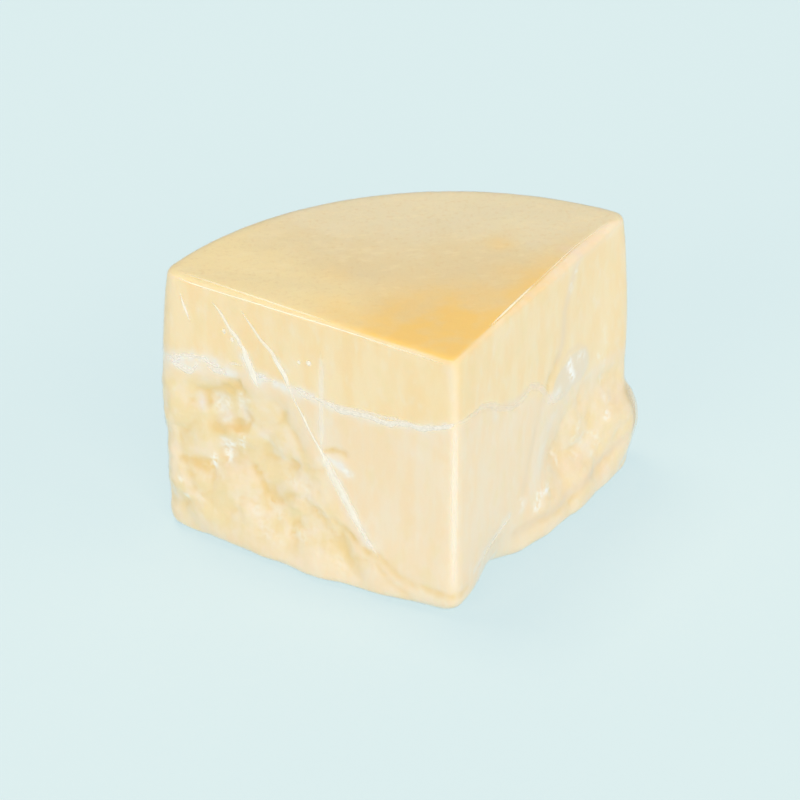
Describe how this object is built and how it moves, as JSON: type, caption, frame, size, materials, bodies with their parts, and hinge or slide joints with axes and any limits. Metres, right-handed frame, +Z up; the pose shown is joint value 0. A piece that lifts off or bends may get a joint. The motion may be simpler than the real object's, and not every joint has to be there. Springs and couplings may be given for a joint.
{
  "type": "pecorino romano chunk",
  "caption": "Vacuum-packed chunk of hard ewe's-milk cheese, an eighth of a wheel, with a flat rind top, smooth upper faces and a broken, craggy foot.",
  "frame": {"origin": "on the base plane, under the middle of the chunk's box", "axes": "+Z up, -Y towards the front edge where the two cut faces meet, +X to the right of that edge seen from the front"},
  "size_m": [0.2204, 0.1516, 0.1325],
  "materials": {
    "cheese": "smooth waxy cheese, amber on the rind and cream where cut",
    "clear_film": "glossy clear vacuum film, creased"
  },
  "bodies": {
    "root": {"pecorino_chunk": "cheese"}
  },
  "joints": []
}
